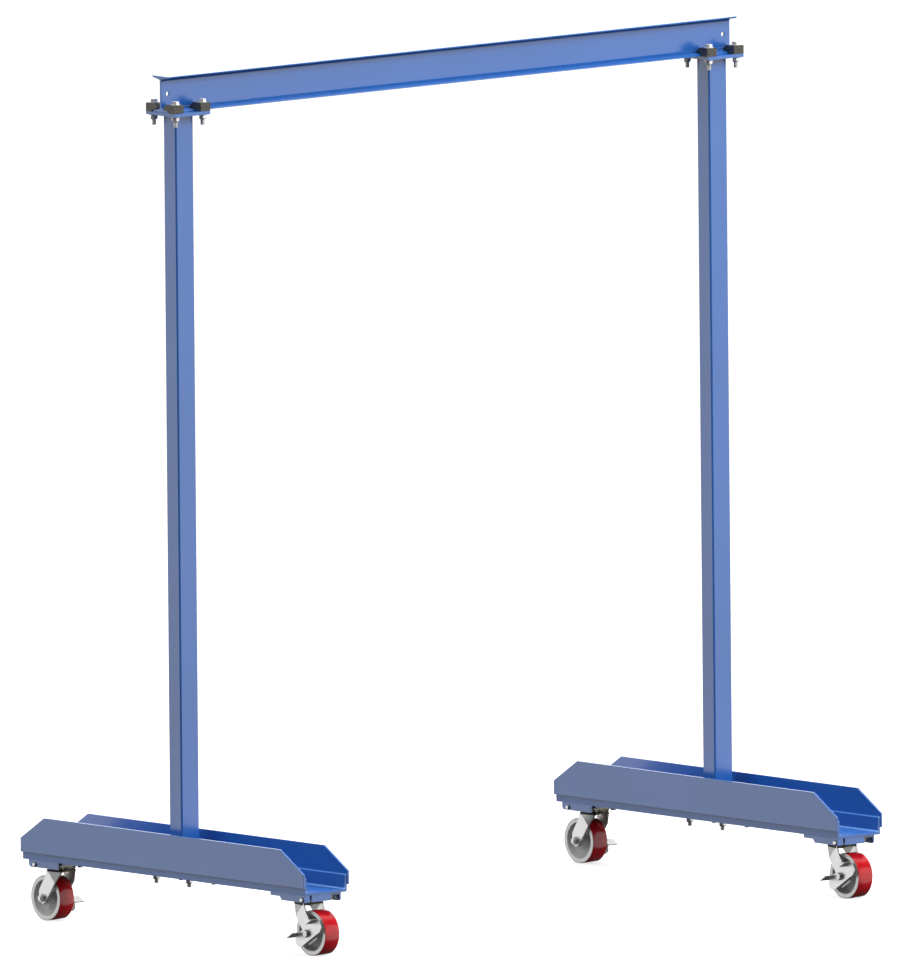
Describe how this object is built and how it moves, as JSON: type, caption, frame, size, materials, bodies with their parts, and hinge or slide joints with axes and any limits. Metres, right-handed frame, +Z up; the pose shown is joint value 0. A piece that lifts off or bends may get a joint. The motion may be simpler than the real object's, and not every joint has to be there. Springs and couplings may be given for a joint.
{
  "type": "portable gantry crane",
  "caption": "Free-standing gantry crane: an I-beam clamped across two tube legs on wheeled bases with swivelling, braked casters.",
  "frame": {"origin": "on the floor, under the middle of the crane", "axes": "+X along the lifting beam, +Y along the wheeled bases, +Z up"},
  "size_m": [2.092, 1.278, 2.413],
  "materials": {
    "frame_paint": "glossy blue powder coat",
    "clamp_iron": "dark oxide, rough as cast",
    "zinc_fastener": "bright zinc plate",
    "zinc_steel": "satin zinc plate on pressed steel",
    "phosphated_steel": "oiled grey phosphate on the swivel's own parts",
    "race_ball": "ground bearing steel",
    "wheel_iron": "grey iron, turned on the rim faces",
    "wheel_tread": "semi-gloss red polyurethane"
  },
  "bodies": {
    "frame": {"base_channel_left": "frame_paint", "base_channel_right": "frame_paint", "beam": "frame_paint", "beam_clamps": "clamp_iron", "caster_bracket_left_front": "frame_paint", "caster_bracket_left_rear": "frame_paint", "caster_bracket_right_front": "frame_paint", "caster_bracket_right_rear": "frame_paint", "caster_plate_left_front": "phosphated_steel", "caster_plate_left_rear": "phosphated_steel", "caster_plate_right_front": "phosphated_steel", "caster_plate_right_rear": "phosphated_steel", "caster_screws": "phosphated_steel", "clamp_bolts": "zinc_fastener", "column_left": "frame_paint", "column_right": "frame_paint", "ear_bolts": "zinc_fastener", "ear_washers": "clamp_iron", "foot_bolts": "zinc_fastener", "foot_plate_left": "frame_paint", "foot_plate_right": "frame_paint", "kingpins": "phosphated_steel", "nuts": "zinc_fastener", "race_balls": "race_ball", "side_plate_left_east": "frame_paint", "side_plate_left_west": "frame_paint", "side_plate_right_east": "frame_paint", "side_plate_right_west": "frame_paint", "top_plate_left": "frame_paint", "top_plate_right": "frame_paint", "washers": "zinc_fastener"},
    "caster_left_front": {"fork_left_front": "zinc_steel", "axle_bolt_left_front": "zinc_fastener", "axle_nut_left_front": "zinc_fastener"},
    "wheel_left_front": {"wheel_core_left_front": "wheel_iron", "tyre_left_front": "wheel_tread", "axle_sleeve_left_front": "race_ball"},
    "brake_left_front": {"brake_lever_left_front": "zinc_steel"},
    "caster_left_rear": {"fork_left_rear": "zinc_steel", "axle_bolt_left_rear": "zinc_fastener", "axle_nut_left_rear": "zinc_fastener"},
    "wheel_left_rear": {"wheel_core_left_rear": "wheel_iron", "tyre_left_rear": "wheel_tread", "axle_sleeve_left_rear": "race_ball"},
    "brake_left_rear": {"brake_lever_left_rear": "zinc_steel"},
    "caster_right_front": {"fork_right_front": "zinc_steel", "axle_bolt_right_front": "zinc_fastener", "axle_nut_right_front": "zinc_fastener"},
    "wheel_right_front": {"wheel_core_right_front": "wheel_iron", "tyre_right_front": "wheel_tread", "axle_sleeve_right_front": "race_ball"},
    "brake_right_front": {"brake_lever_right_front": "zinc_steel"},
    "caster_right_rear": {"fork_right_rear": "zinc_steel", "axle_bolt_right_rear": "zinc_fastener", "axle_nut_right_rear": "zinc_fastener"},
    "wheel_right_rear": {"wheel_core_right_rear": "wheel_iron", "tyre_right_rear": "wheel_tread", "axle_sleeve_right_rear": "race_ball"},
    "brake_right_rear": {"brake_lever_right_rear": "zinc_steel"}
  },
  "joints": [
    {"name": "swivel_left_front", "type": "hinge", "parent": "frame", "child": "caster_left_front", "pos_m": [-0.9635, -0.535, 0.141], "axis": [0, 0, 1], "continuous": true},
    {"name": "roll_left_front", "type": "hinge", "parent": "caster_left_front", "child": "wheel_left_front", "pos_m": [-0.9635, -0.5755, 0.0635], "axis": [1, 0, 0], "continuous": true},
    {"name": "brake_left_front", "type": "hinge", "parent": "caster_left_front", "child": "brake_left_front", "pos_m": [-0.9635, -0.5755, 0.0635], "axis": [-1, 0, 0], "range_deg": [-16, 0]},
    {"name": "swivel_left_rear", "type": "hinge", "parent": "frame", "child": "caster_left_rear", "pos_m": [-0.9635, 0.535, 0.141], "axis": [0, 0, 1], "continuous": true},
    {"name": "roll_left_rear", "type": "hinge", "parent": "caster_left_rear", "child": "wheel_left_rear", "pos_m": [-0.9635, 0.5755, 0.0635], "axis": [1, 0, 0], "continuous": true},
    {"name": "brake_left_rear", "type": "hinge", "parent": "caster_left_rear", "child": "brake_left_rear", "pos_m": [-0.9635, 0.5755, 0.0635], "axis": [1, 0, 0], "range_deg": [-16, 0]},
    {"name": "swivel_right_front", "type": "hinge", "parent": "frame", "child": "caster_right_front", "pos_m": [0.9635, -0.535, 0.141], "axis": [0, 0, 1], "continuous": true},
    {"name": "roll_right_front", "type": "hinge", "parent": "caster_right_front", "child": "wheel_right_front", "pos_m": [0.9635, -0.5755, 0.0635], "axis": [1, 0, 0], "continuous": true},
    {"name": "brake_right_front", "type": "hinge", "parent": "caster_right_front", "child": "brake_right_front", "pos_m": [0.9635, -0.5755, 0.0635], "axis": [-1, 0, 0], "range_deg": [-16, 0]},
    {"name": "swivel_right_rear", "type": "hinge", "parent": "frame", "child": "caster_right_rear", "pos_m": [0.9635, 0.535, 0.141], "axis": [0, 0, 1], "continuous": true},
    {"name": "roll_right_rear", "type": "hinge", "parent": "caster_right_rear", "child": "wheel_right_rear", "pos_m": [0.9635, 0.5755, 0.0635], "axis": [1, 0, 0], "continuous": true},
    {"name": "brake_right_rear", "type": "hinge", "parent": "caster_right_rear", "child": "brake_right_rear", "pos_m": [0.9635, 0.5755, 0.0635], "axis": [1, 0, 0], "range_deg": [-16, 0]}
  ]
}
